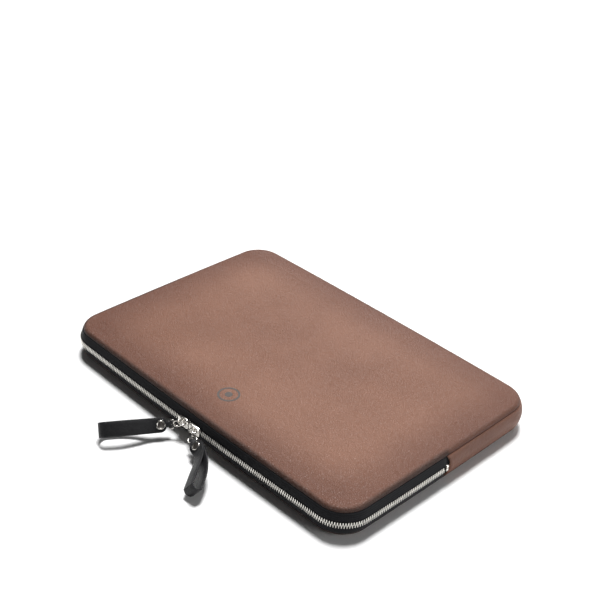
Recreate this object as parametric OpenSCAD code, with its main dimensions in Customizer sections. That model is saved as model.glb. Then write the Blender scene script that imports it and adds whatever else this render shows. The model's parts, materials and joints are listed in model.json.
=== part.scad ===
// Padded leather laptop sleeve with a two-slider metal zip round its front half.
// Millimetres. +Z is up, the sleeve lies flat, the zipped front faces -Y and
// the origin is the centre of the underside.

/* [Sleeve] */
// Overall width, left to right
sleeve_w = 331; // [300:1:380]
// Overall depth from the zipped front to the back
sleeve_d = 227.6; // [210:0.1:270]
// Overall thickness
sleeve_h = 27.4; // [26:0.1:34]
// Radius of the four corners seen from above
corner_r = 27; // [22:1:40]
// Where the zip ends on both sides, forward of this the mouth opens
mouth_y = 2.8; // [-20:0.1:20]

/* [Layers] */
// Thickness of the leather
leather_t = 1.3; // [1:0.1:1.6]
// Thickness of the foam in the two panels
foam_t = 3; // [2:0.1:3.2]
// Thickness of the lining cloth
lining_t = 0.7; // [0.4:0.1:1]
// Radius that the panels roll down to the seam with
roll_r = 6; // [5:0.5:8]

/* [Zip] */
// Distance between teeth on one tape
tooth_pitch = 2.01; // [1.9:0.01:2.6]
// Height of one half of the side band, from the teeth to the seam
band_half = 10; // [9:0.1:11]
// How far the middle of the side band stands out past the seam
band_bulge = 3; // [2:0.1:3.5]
// Thickness of the woven tape
tape_t = 0.7; // [0.5:0.1:0.8]
// Length of a slider
slider_l = 12.2; // [11:0.1:14]
// Width of a slider across the zip
slider_w = 9; // [8.8:0.1:9.4]

/* [Pulls] */
// Width of the leather strap
strap_w = 12; // [10:0.5:14]
// Thickness of the strap leather
strap_t = 1.3; // [1:0.1:1.5]
// From the link's bar to the middle of the strap's fold
strap_l = 54; // [48:1:64]
// Diameter of the rivet caps
rivet_d = 7.4; // [6:0.1:9]
// Thickness of the bars of the cast links
wire_d = 1.1; // [0.9:0.1:1.1]

/* [Hidden] */
$fn = 96;

brown = "#7b5a4c";
black = "#1e1f22";
nickel = "#c9c6c0";
foam_grey = "#55565a";
lining_grey = "#3b3c40";

half_w = sleeve_w / 2;
half_d = sleeve_d / 2;
mid_z = sleeve_h / 2;
seam_n = -band_bulge;
// The panels are cut across at the mouth's bend line, with a slit between the halves.
slit = 0.3;
joint_gap = 1;

// Side band: an arc through both seams and the outermost line between them.
band_r = (band_half * band_half + band_bulge * band_bulge) / (2 * band_bulge);
// Tape: sunk by tape_in at the teeth, so that the teeth are outermost.
tape_in = 0.64;
tape_rise = band_bulge - tape_in;
tape_r = (band_half * band_half + tape_rise * tape_rise) / (2 * tape_rise);
tape_edge = 1.6;
gusset_foam_t = 2.5;

// Panels: the outer face rolls from the seam to the flat face.
panel_drop = mid_z - roll_r;
roll_rise = band_half - panel_drop;
roll_n = seam_n - sqrt(roll_r * roll_r - roll_rise * roll_rise);
foam_inset = -roll_n + 0.5;
lining_inset = 5.2;

// Teeth: the two rows interlock by tooth_cross on each side of the middle.
tooth_w = 0.85;
tooth_depth = 2;
tooth_cross = 0.8;
tooth_root = 2.3;
// Between the two sliders the rows stand apart by this much each.
tooth_part = 1.45;
tooth_part_x = 5;
tooth_close_x = 11.5;
stop_l = 2.6;

// Sliders: each is this far from the middle of the front.
slider_x = slider_l / 2 + 0.5;
plate_t = 1.2;
plate_gap = 0.35;
outer_plate_n = plate_gap;
inner_plate_n = -tooth_depth - 0.5;
lip_h = 0.6;
post_l = 2.2;
post_w = 0.9;
bridge_gap = 2.6;
bridge_t = 1.1;
bridge_l = 7.6;
bridge_w = 1.2;
bar_n = outer_plate_n + plate_t + bridge_gap / 2;

// Links: an oval ring for the slider's bridge and a square loop for the strap.
ring_r = 2.6;
ring_l = 6.4;
link_l = 10.3;
loop_w = 6.6;
loop_r = 1.2;

// Straps: the band's tongue wraps the link's bar, the rivet closes it.
tongue_w = 4.4;
bar_clear = 0.25;
rivet_u = 6.5;
layers_end_u = 13;
cap_h = 0.9;
rivet_stem_d = 3;

// Pull directions: [side, swing out from straight ahead, droop, lean of the strap,
// turn of the strap on its link, half of the strap loop's opening]
left_pull = [-1, 50.9, 15.4, 38.4, 21.9, 7.5];
right_pull = [1, 51, 13.6, -74.3, 7.9, 4.2];

// ---- paths round the outline --------------------------------------------

// 2D children: x is the distance outward from the outermost line, y the height
// over the middle of the thickness.
module side_run(y0, y1) {
    translate([half_w, y1, mid_z]) rotate([90, 0, 0]) linear_extrude(y1 - y0) children();
}

module end_run() {
    straight = half_w - corner_r;
    translate([-straight, half_d, mid_z]) rotate([90, 0, 90]) linear_extrude(2 * straight) children();
}

module back_corner() {
    translate([half_w - corner_r, half_d - corner_r, mid_z])
        rotate_extrude(angle = 90) translate([corner_r, 0]) children();
}

module both_sides() {
    children();
    mirror([1, 0, 0]) children();
}

module rear_u(y0) {
    both_sides() {
        side_run(y0, half_d - corner_r) children();
        back_corner() children();
    }
    end_run() children();
}

module front_u(y1) {
    mirror([0, 1, 0]) rear_u(-y1) children();
}

// Rounded slab that fills the outline, inset on every side.
module outline(inset) {
    r = corner_r - inset;
    x = half_w - corner_r;
    y = half_d - corner_r;
    square([2 * x, 2 * (y + r)], center = true);
    square([2 * (x + r), 2 * y], center = true);
    for (sx = [-1, 1], sy = [-1, 1]) translate([sx * x, sy * y]) circle(r);
}

module slab(inset, low, high) {
    translate([0, 0, mid_z + low]) linear_extrude(high - low) outline(inset);
}

module behind(y) {
    translate([-sleeve_w, y, -sleeve_h]) cube([2 * sleeve_w, sleeve_d, 3 * sleeve_h]);
}

module ahead_of(y) {
    translate([-sleeve_w, y - sleeve_d, -sleeve_h]) cube([2 * sleeve_w, sleeve_d, 3 * sleeve_h]);
}

// ---- sections of the skin -----------------------------------------------

// Panel edge: a quarter roll from the seam, ending in a short flat.
module rolled_edge() {
    intersection() {
        translate([roll_n, panel_drop]) difference() {
            circle(roll_r);
            circle(roll_r - leather_t);
        }
        translate([roll_n, band_half - 0.3]) square([roll_r, roll_r]);
    }
    translate([roll_n - 2, mid_z - leather_t]) square([2.01, leather_t]);
}

// Strip of the side band between two depths under its outer face.
module band_section(depth, thick, reach) {
    intersection() {
        translate([-band_r, 0]) difference() {
            circle(band_r - depth);
            circle(band_r - depth - thick);
        }
        translate([-band_r, -reach]) square([band_r + 1, 2 * reach]);
    }
}

module tape_section() {
    intersection() {
        translate([-tape_in - tape_r, 0]) difference() {
            circle(tape_r, $fn = 192);
            circle(tape_r - tape_t, $fn = 192);
        }
        translate([-band_bulge - 2, tape_edge]) square([band_bulge + 3, band_half - tape_edge - 0.3]);
    }
}

// ---- panels -------------------------------------------------------------

module flat_leather() {
    slab(-roll_n, mid_z - leather_t, mid_z);
}

module rear_half_leather(y0) {
    rear_u(y0) rolled_edge();
    intersection() {
        flat_leather();
        behind(y0);
    }
}

module front_half_leather(y1) {
    front_u(y1) rolled_edge();
    intersection() {
        flat_leather();
        ahead_of(y1);
    }
}

module bottom_leather() {
    color(brown) translate([0, 0, sleeve_h]) mirror([0, 0, 1]) {
        rear_half_leather(0);
        front_half_leather(0);
    }
}

module rear_top_leather() {
    color(brown) rear_half_leather(mouth_y + slit / 2);
}

module front_top_leather() {
    color(brown) front_half_leather(mouth_y - slit / 2);
}

module foam_sheet() {
    slab(foam_inset, mid_z - leather_t - foam_t, mid_z - leather_t);
}

module lining_sheet() {
    slab(lining_inset, mid_z - leather_t - foam_t - lining_t, mid_z - leather_t - foam_t);
}

module bottom_foam() {
    color(foam_grey) translate([0, 0, sleeve_h]) mirror([0, 0, 1]) foam_sheet();
}

module bottom_lining() {
    color(lining_grey) translate([0, 0, sleeve_h]) mirror([0, 0, 1]) lining_sheet();
}

module rear_top_foam() {
    color(foam_grey) intersection() {
        foam_sheet();
        behind(mouth_y + slit / 2);
    }
}

module front_top_foam() {
    color(foam_grey) intersection() {
        foam_sheet();
        ahead_of(mouth_y - slit / 2);
    }
}

module rear_top_lining() {
    color(lining_grey) intersection() {
        lining_sheet();
        behind(mouth_y + slit / 2);
    }
}

module front_top_lining() {
    color(lining_grey) intersection() {
        lining_sheet();
        ahead_of(mouth_y - slit / 2);
    }
}

// ---- gusset round the back ----------------------------------------------

module gusset_leather() {
    color(brown) rear_u(mouth_y + slit / 2) band_section(0, leather_t, band_half - 0.4);
}

module gusset_foam() {
    color(foam_grey) rear_u(mouth_y + joint_gap) band_section(leather_t, gusset_foam_t, 8);
}

module gusset_lining() {
    color(lining_grey) rear_u(mouth_y + joint_gap)
        band_section(leather_t + gusset_foam_t, lining_t, 8);
}

// ---- zip ----------------------------------------------------------------

straight_x = half_w - corner_r;
straight_y = mouth_y - joint_gap - stop_l + half_d - corner_r;
arc_l = corner_r * PI / 2;
half_path = straight_x + arc_l + straight_y;

// How far a row has moved away from the middle at a distance from the front's centre.
function parted(s) =
    let (t = (tooth_close_x - s) / (tooth_close_x - tooth_part_x))
    tooth_part * max(0, min(1, t));

// Children stand on the outermost line, at path length s right of the front's centre.
module at_path(s) {
    arc = max(0, min(arc_l, s - straight_x)) / corner_r * 180 / PI;
    x = min(s, straight_x);
    y = max(0, s - straight_x - arc_l);
    translate([x, -half_d + corner_r + y, mid_z]) rotate([0, 0, arc]) translate([0, -corner_r, 0])
        children();
}

module tooth(lift) {
    translate([-tooth_w / 2, 0, lift - tooth_cross]) cube([tooth_w, tooth_depth, tooth_root + tooth_cross]);
}

// One row on the upper side; phase shifts it along the path by part of a pitch.
module tooth_row(phase) {
    for (i = [0 : floor(half_path / tooth_pitch - 1)]) {
        s = (i + phase) * tooth_pitch;
        at_path(s) tooth(parted(s));
        mirror([1, 0, 0]) at_path(s + (1 - 2 * phase) * tooth_pitch) tooth(parted(s));
    }
}

module flipped() {
    translate([0, 0, sleeve_h]) mirror([0, 0, 1]) children();
}

module upper_teeth() {
    color(nickel) tooth_row(0.25);
}

module lower_teeth() {
    color(nickel) flipped() tooth_row(0.75);
}

module upper_tape() {
    color(black) front_u(mouth_y - joint_gap) tape_section();
}

module lower_tape() {
    color(black) flipped() front_u(mouth_y - joint_gap) tape_section();
}

module end_stops() {
    both_sides() translate([half_w - tooth_depth, mouth_y - joint_gap - stop_l + 0.4, mid_z + 0.2])
        cube([tooth_depth, stop_l - 0.4, tooth_root]);
}

module upper_end_stops() {
    color(nickel) end_stops();
}

module lower_end_stops() {
    color(nickel) flipped() end_stops();
}

// ---- sliders ------------------------------------------------------------

// Slider in its own frame: x along the zip with the closed chain leaving at -x,
// y outward from the outermost line, z across the zip.
module plate(n, lip_n) {
    nose = slider_w / 2 - 1;
    translate([0, n, 0]) rotate([-90, 0, 0]) linear_extrude(plate_t) polygon([
        [-slider_l / 2, -nose], [-slider_l / 2 + 1, -slider_w / 2],
        [slider_l / 2 - 2, -slider_w / 2], [slider_l / 2, -nose + 1],
        [slider_l / 2, nose - 1], [slider_l / 2 - 2, slider_w / 2],
        [-slider_l / 2 + 1, slider_w / 2], [-slider_l / 2, nose]]);
    for (side = [-1, 1])
        translate([-slider_l / 2 + 1, min(n, lip_n), side * (slider_w / 2 - lip_h / 2) - lip_h / 2])
            cube([slider_l - 3, abs(lip_n - n), lip_h]);
}

module slider_body() {
    outer_lip_n = -0.45;
    inner_lip_n = -tooth_depth - 0.15;
    plate(outer_plate_n, outer_lip_n);
    plate(inner_plate_n - plate_t, inner_plate_n - 0.01);
    translate([slider_l / 2 - post_l, inner_plate_n - 0.5, -post_w / 2])
        cube([post_l, outer_plate_n - inner_plate_n + 1, post_w]);
    for (side = [-1, 1])
        translate([side * (bridge_l - bridge_t) / 2 - bridge_t / 2, outer_plate_n + plate_t - 0.3, -bridge_w / 2])
            cube([bridge_t, bridge_gap + bridge_t + 0.3, bridge_w]);
    translate([-bridge_l / 2, outer_plate_n + plate_t + bridge_gap, -bridge_w / 2])
        cube([bridge_l, bridge_t, bridge_w]);
}

module slider(side) {
    color(nickel) translate([side * slider_x, -half_d, mid_z]) mirror([side > 0 ? 1 : 0, 0, 0])
        mirror([0, 1, 0]) slider_body();
}

module left_slider() { slider(-1); }
module right_slider() { slider(1); }

// ---- pulls --------------------------------------------------------------

// Children are in the pull's frame: origin on the slider's bridge, x along the link,
// z along the slider's bridge pin line, y sideways.
module on_bridge(pull) {
    translate([pull[0] * slider_x, -half_d - bar_n, mid_z])
        rotate([0, 0, -90 + pull[0] * pull[1]]) rotate([0, pull[2], 0]) children();
}

// Children start at the link's far bar, x along the strap and z along its width.
module on_link(pull) {
    on_bridge(pull) rotate([pull[3], 0, 0]) translate([link_l, 0, 0])
        rotate([0, 0, -pull[0] * pull[4]]) children();
}

// Flat 2D frame with round ends, from x0 to x1 between its bars' centre lines.
module frame_outline(x0, x1, height, r, edge) {
    x = [x0 - edge + r, x1 + edge - r];
    z = height / 2 + edge - r;
    for (cx = x, cz = [-z, z]) translate([cx, cz]) circle(r, $fn = 48);
    translate([x[0], -z - r]) square([x[1] - x[0], 2 * (z + r)]);
    translate([x[0] - r, -z]) square([x[1] - x[0] + 2 * r, 2 * z]);
}

module wire_frame(x0, x1, height, r) {
    half_wire = wire_d / 2;
    rotate([90, 0, 0]) translate([0, 0, -half_wire]) linear_extrude(wire_d) difference() {
        frame_outline(x0, x1, height, r + half_wire, half_wire);
        frame_outline(x0, x1, height, r - half_wire, -half_wire);
    }
}

module link(pull) {
    color(nickel) on_bridge(pull) {
        wire_frame(0, ring_l, 2 * ring_r, ring_r - 0.1);
        rotate([pull[3], 0, 0]) wire_frame(ring_l, link_l, loop_w, loop_r);
    }
}

// Outline of the band seen on its edge: tongue round the bar, pressed layers, open loop.
module strap_edge(opening) {
    bar_r = wire_d / 2 + bar_clear;
    difference() {
        union() {
            circle(bar_r + strap_t);
            translate([0, -strap_t]) square([layers_end_u, 2 * strap_t]);
            hull() {
                translate([layers_end_u, 0]) circle(strap_t, $fn = 32);
                translate([strap_l - opening, 0]) circle(opening, $fn = 64);
            }
        }
        circle(bar_r);
        hull() {
            translate([layers_end_u + 3, 0]) circle(0.2, $fn = 32);
            translate([strap_l - opening, 0]) circle(opening - strap_t, $fn = 64);
        }
    }
}

// The band is cut to a tongue beside the link and has round shoulders.
module strap_face() {
    shoulder = strap_w / 2;
    translate([-5, -tongue_w / 2]) square([12, tongue_w]);
    translate([rivet_u + 2, 0]) circle(shoulder);
    translate([rivet_u + 2, -strap_w / 2]) square([strap_l, strap_w]);
}

module strap(pull) {
    color(black) on_link(pull) difference() {
        intersection() {
            translate([0, 0, -strap_w / 2]) linear_extrude(strap_w) strap_edge(pull[5]);
            translate([0, 20, 0]) rotate([90, 0, 0]) linear_extrude(40) strap_face();
        }
        translate([rivet_u, 0, 0]) rotate([90, 0, 0]) cylinder(h = 20, d = rivet_stem_d, center = true);
    }
}

// The cap closes the strap's upper face, the stem's own head the lower one.
module on_rivet(pull, up) {
    on_link(pull) translate([rivet_u, 0, 0]) rotate([pull[0] * up * 90, 0, 0]) children();
}

module rivet_cap(pull) {
    color(nickel) on_rivet(pull, 1) translate([0, 0, strap_t]) cylinder(h = cap_h, d = rivet_d);
}

module rivet_stem(pull) {
    color(nickel) on_rivet(pull, -1) {
        translate([0, 0, strap_t]) cylinder(h = cap_h, d = rivet_d);
        translate([0, 0, -strap_t]) cylinder(h = 2 * strap_t + 0.3, d = rivet_stem_d);
    }
}

module left_link() { link(left_pull); }
module left_strap() { strap(left_pull); }
module left_rivet_cap() { rivet_cap(left_pull); }
module left_rivet_stem() { rivet_stem(left_pull); }
module right_link() { link(right_pull); }
module right_strap() { strap(right_pull); }
module right_rivet_cap() { rivet_cap(right_pull); }
module right_rivet_stem() { rivet_stem(right_pull); }

// ---- nodes --------------------------------------------------------------

bottom_leather();
bottom_foam();
bottom_lining();
gusset_leather();
gusset_foam();
gusset_lining();
rear_top_leather();
rear_top_foam();
rear_top_lining();
lower_tape();
lower_teeth();
lower_end_stops();
front_top_leather();
front_top_foam();
front_top_lining();
upper_tape();
upper_teeth();
upper_end_stops();
left_slider();
left_link();
left_strap();
left_rivet_cap();
left_rivet_stem();
right_slider();
right_link();
right_strap();
right_rivet_cap();
right_rivet_stem();
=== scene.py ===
import json
import math

import bmesh
import bpy
import numpy as np
from mathutils import Matrix, Vector, noise


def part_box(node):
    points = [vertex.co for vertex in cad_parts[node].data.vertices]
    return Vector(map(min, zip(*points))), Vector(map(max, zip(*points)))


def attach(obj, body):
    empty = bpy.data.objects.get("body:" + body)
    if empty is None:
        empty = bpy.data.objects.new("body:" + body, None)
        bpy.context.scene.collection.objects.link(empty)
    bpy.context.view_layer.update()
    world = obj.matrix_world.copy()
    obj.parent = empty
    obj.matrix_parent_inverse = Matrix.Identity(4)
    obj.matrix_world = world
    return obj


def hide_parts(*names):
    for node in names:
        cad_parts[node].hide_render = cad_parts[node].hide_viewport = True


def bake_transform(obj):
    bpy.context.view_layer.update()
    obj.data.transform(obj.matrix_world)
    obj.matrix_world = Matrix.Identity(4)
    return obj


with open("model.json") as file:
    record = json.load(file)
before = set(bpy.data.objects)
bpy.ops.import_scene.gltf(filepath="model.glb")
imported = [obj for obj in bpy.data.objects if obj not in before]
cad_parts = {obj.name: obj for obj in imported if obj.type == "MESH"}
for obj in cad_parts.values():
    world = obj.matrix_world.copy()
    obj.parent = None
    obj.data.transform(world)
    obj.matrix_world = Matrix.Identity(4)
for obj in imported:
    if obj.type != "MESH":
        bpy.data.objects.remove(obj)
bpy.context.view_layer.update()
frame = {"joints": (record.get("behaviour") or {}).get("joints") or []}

MM = 0.001

# Through the file s is a length along the sleeve's outermost line, seen from above,
# n a distance outside that line and h a height over the sleeve's middle plane.

# ---- sizes in millimetres: what the frame says -------------------------------------

HALF_W, HALF_D = (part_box("gusset_leather")[1] / MM).xy
TOP_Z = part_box("rear_top_leather")[1].z / MM
MID_Z = TOP_Z / 2
MOUTH_Y = frame["joints"][0]["pos_m"][1] / MM
SEAM_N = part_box("front_top_leather")[1].x / MM - HALF_W

# ---- the sleeve. _T is a thickness, _R a radius, _W a width, _L a length -----------

# The outline's round corners, and how far its long and short edges bow out.
CORNER_R = 26.2
END_BOW = 1.3
SIDE_BOW = 0.6

# The side band between the two seams, half of its height and its bulge past them.
BAND_HALF = 10.0
BAND_BULGE = -SEAM_N

# The layers, and how far inside the outline the foam and the lining stop.
LEATHER_T = 1.3
FOAM_T = 3.0
LINING_T = 0.7
GUSSET_FOAM_T = 2.5
FOAM_INSET = 9.2
LINING_INSET = 5.4
INNER_BAND_HALF = 8
LAYER_GAP = 0.05

# The panels' rolled edge, the dome of the top, and the fall of the face to the edge.
ROLL_R = 6.0
CROWN = 1.0
EDGE_DROP = 1.0
FLAT_INSETS = (11, 15, 22)
PANEL_GRID = 2.8

# Painted shade: the leather's darker colour near the seams, and the dark rim right by them.
PAINTED_SHADE_CORNER_R = 58
PAINTED_SHADE_REACH = 52
PAINTED_RIM_SHADE_REACH = 4.8

# The gusset's ends over the zip's tape.
NOTCH_REACH = 3.0
NOTCH_DEPTH = 4.5

# ---- the zip -----------------------------------------------------------------------

# TAPE_IN is how far inside the outermost line the tape's face runs. The teeth's faces
# are on that line.
TAPE_T = 0.7
TAPE_IN = 0.64
TAPE_EDGE = 1.5
TAPE_END_GAP = 1.0

# A tooth reaches from TOOTH_CROSS past the middle to TOOTH_ROOT from it. The rows part
# by TOOTH_PART up to TOOTH_PART_X from the front's middle and meet at TOOTH_CLOSE_X.
TOOTH_PITCH = 2.01
TOOTH_DEPTH = 2.0
TOOTH_FACE = 0.42
TOOTH_ROOT = 2.7
TOOTH_CROSS = 0.6
TOOTH_W = 0.78
TOOTH_PART = 1.45
TOOTH_PART_X = 5.0
TOOTH_CLOSE_X = 11.5
STOP_L = 2.6

# ---- sliders, links, straps and rivets ---------------------------------------------

SLIDER_L = 12.2
SLIDER_W = 9.0
PLATE_T = 1.2
PLATE_GAP = 0.35
BRIDGE_GAP = 2.6
WIRE_D = 1.15
RING_L = 6.4
RING_H = 5.2
LOOP_H = 6.6
LINK_L = 10.3
STRAP_T = 1.3
STRAP_W = 12.0
STRAP_L = 54.0
RIVET_U = 6.5
RIVET_D = 7.4

# ---- the floor, its size in metres -------------------------------------------------

FLOOR_SIZE_M = 60
FLOOR_DROP = 0.1

# ---- small mesh helpers ------------------------------------------------------------


def smooth_step(t):
    t = min(1.0, max(0.0, t))
    return t * t * (3 - 2 * t)


def ring_faces(rings, count, closed=False):
    """Quads between rings of count vertices each, and from the last to the first if closed."""
    faces = []
    for i in range(rings if closed else rings - 1):
        a = i * count
        b = (i + 1) % rings * count
        for k in range(count):
            m = (k + 1) % count
            faces.append((a + k, a + m, b + m, b + k))
    return faces


def capped_faces(rings, count):
    """The quads between rings, and a cap on the first and on the last ring."""
    last = (rings - 1) * count
    caps = [tuple(range(count)), tuple(last + k for k in reversed(range(count)))]
    return ring_faces(rings, count) + caps


def new_object(name, vertices, faces, material, uvs=None):
    """Mesh object from millimetre vertices. uvs holds one (u, v) per vertex, in metres."""
    mesh = bpy.data.meshes.new(name)
    mesh.from_pydata([tuple(c * MM for c in v) for v in vertices], [], faces)
    mesh.materials.append(material)
    if uvs is not None:
        layer = mesh.uv_layers.new(name="strip")
        for loop in mesh.loops:
            layer.data[loop.index].uv = uvs[loop.vertex_index]
    mesh.update()
    bm = bmesh.new()
    bm.from_mesh(mesh)
    bmesh.ops.recalc_face_normals(bm, faces=bm.faces)
    bm.to_mesh(mesh)
    bm.free()
    mesh.shade_smooth()
    obj = bpy.data.objects.new(name, mesh)
    bpy.context.scene.collection.objects.link(obj)
    return obj


def apply_modifiers(obj):
    depsgraph = bpy.context.evaluated_depsgraph_get()
    mesh = bpy.data.meshes.new_from_object(obj.evaluated_get(depsgraph))
    obj.modifiers.clear()
    obj.data = mesh


def bevel(obj, width, segments=2):
    modifier = obj.modifiers.new("bevel", "BEVEL")
    modifier.width = width * MM
    modifier.segments = segments
    modifier.limit_method = "ANGLE"
    modifier.angle_limit = math.radians(35)
    apply_modifiers(obj)


def join(name, objects):
    """One object from several, keeping their materials. The first one's mesh comes first."""
    with bpy.context.temp_override(
        active_object=objects[0], selected_editable_objects=objects, object=objects[0]
    ):
        bpy.ops.object.join()
    objects[0].name = name
    return objects[0]


def piece(obj, body, slot, *nodes):
    """obj rides on a body and stands for CAD nodes. slot is not used."""
    if nodes:
        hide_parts(*nodes)
    if body:
        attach(obj, body)


# ---- the outline and what is swept along it ----------------------------------------


class Outline:
    """The outermost line seen from above, as points with outward normals.

    Lengths run anticlockwise from the front's middle. marks holds the lengths of the
    corners' middles, from the front-left corner on.
    """

    def __init__(self, step):
        quarter = self.quarter()
        right_front = quarter
        right_back = [(x, -y, nx, -ny) for x, y, nx, ny in reversed(quarter)][1:]
        left_back = [(-x, -y, -nx, -ny) for x, y, nx, ny in quarter][1:]
        left_front = [(-x, y, -nx, ny) for x, y, nx, ny in reversed(quarter)][1:-1]
        dense = np.array(right_front + right_back + left_back + left_front)
        closed = np.vstack([dense, dense[:1]])
        lengths = np.hypot(*np.diff(closed[:, :2], axis=0).T)
        self.s = np.concatenate([[0], np.cumsum(lengths)])
        self.dense = closed
        self.total = self.s[-1]
        corner = self.corner_s
        self.marks = [-corner, corner, self.total / 2 - corner, self.total / 2 + corner]
        self.long_count = round(2 * corner / step)
        self.short_count = round((self.total / 2 - 2 * corner) / step)

    def quarter(self):
        """Points from the front's middle to the right side's middle."""
        turn_side = math.atan(2 * SIDE_BOW / (HALF_D - CORNER_R))
        turn_end = math.atan(2 * END_BOW / (HALF_W - CORNER_R))
        centre_x = HALF_W - SIDE_BOW - CORNER_R * math.cos(turn_side)
        centre_y = HALF_D - END_BOW - CORNER_R * math.cos(turn_end)
        end_x = centre_x + CORNER_R * math.sin(turn_end)
        side_y = centre_y + CORNER_R * math.sin(turn_side)
        points = []
        for x in np.linspace(0, end_x, 120, endpoint=False):
            slope = 2 * END_BOW * x / end_x**2
            size = math.hypot(1, slope)
            points.append((x, -HALF_D + END_BOW * (x / end_x) ** 2, slope / size, -1 / size))
        first = -math.pi / 2 + turn_end
        last = -turn_side
        for angle in np.linspace(first, last, 90, endpoint=False):
            nx, ny = math.cos(angle), math.sin(angle)
            points.append((centre_x + CORNER_R * nx, -centre_y + CORNER_R * ny, nx, ny))
        self.corner_s = end_x + CORNER_R * (last - first) / 2
        for y in np.linspace(-side_y, 0, 80):
            slope = 2 * SIDE_BOW * y / side_y**2
            size = math.hypot(1, slope)
            points.append((HALF_W - SIDE_BOW * (y / side_y) ** 2, y, 1 / size, slope / size))
        return points

    def at(self, s):
        """x, y and outward normal at a length from the front's middle, to the right."""
        s = s % self.total
        return np.array([np.interp(s, self.s, self.dense[:, k]) for k in range(4)])

    def loop(self):
        """Lengths of a full loop of samples, corner middle to corner middle."""
        samples = []
        ends = self.marks[1:] + [self.marks[0] + self.total]
        counts = [self.long_count, self.short_count] * 2
        for start, end, count in zip(self.marks, ends, counts):
            samples.extend(np.linspace(start, end, count, endpoint=False))
        return samples

    def length_to(self, y):
        """Length from the front's middle to where the right side passes y."""
        half = self.s <= self.total / 2
        return float(np.interp(y, self.dense[half, 1], self.s[half]))

    def front_run(self, y, step):
        """Lengths along the front half, from the left side at y to the right side at y."""
        end = self.length_to(y)
        return np.linspace(-end, end, max(2, round(2 * end / step)))

    def rear_run(self, y, step):
        """Lengths along the back half, from the right side at y to the left side at y."""
        end = self.length_to(y)
        return np.linspace(end, self.total - end, max(2, round((self.total - 2 * end) / step)))


OUTLINE = Outline(PANEL_GRID)


def on_outline(s, n, h):
    """Point at length s, n outside the outermost line and h over the middle plane."""
    x, y, nx, ny = OUTLINE.at(s)
    return (x + n * nx, y + n * ny, MID_Z + h)


def sweep(name, lengths, section, material, shape=None):
    """Closed section of (n, h) points swept along the outline, capped at both ends.
    shape(s, n, h) may move a point to another (s, n, h)."""
    along = [0.0]
    for a, b in zip(section, section[1:] + section[:1]):
        along.append(along[-1] + math.dist(a, b))
    vertices = []
    uvs = []
    for s in lengths:
        for k, (n, h) in enumerate(section):
            vertices.append(on_outline(*shape(s, n, h)) if shape else on_outline(s, n, h))
            uvs.append((s * MM, along[k] * MM))
    return new_object(name, vertices, capped_faces(len(lengths), len(section)), material, uvs)


def coons(ring, nx, ny):
    """Grid of points that fills a ring of 2 * (nx + ny) samples, corner to corner."""
    front = ring[0 : nx + 1]
    right = ring[nx : nx + ny + 1]
    back = ring[nx + ny : 2 * nx + ny + 1][::-1]
    left = np.vstack([ring[2 * nx + ny :], ring[:1]])[::-1]
    u = np.linspace(0, 1, nx + 1)[:, None, None]
    v = np.linspace(0, 1, ny + 1)[None, :, None]
    ruled_v = (1 - v) * front[:, None] + v * back[:, None]
    ruled_u = (1 - u) * left[None] + u * right[None]
    corners = (
        (1 - u) * (1 - v) * front[0]
        + u * (1 - v) * front[-1]
        + (1 - u) * v * back[0]
        + u * v * back[-1]
    )
    return ruled_v + ruled_u - corners


def crown(x, y):
    """How far the padded top stands over its edge: a soft dome with faint unevenness."""
    fall_x = 1 - abs(x / (HALF_W - 4)) ** 3
    fall_y = 1 - abs(y / (HALF_D - 4)) ** 3
    dome = CROWN * max(0, fall_x) * max(0, fall_y)
    broad = noise.noise(Vector((x / 55, y / 55, 3.1)))
    small = noise.noise(Vector((x / 21, y / 21, 8.7)))
    return dome * (1 + 0.16 * (broad + 0.4 * small))


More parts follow.
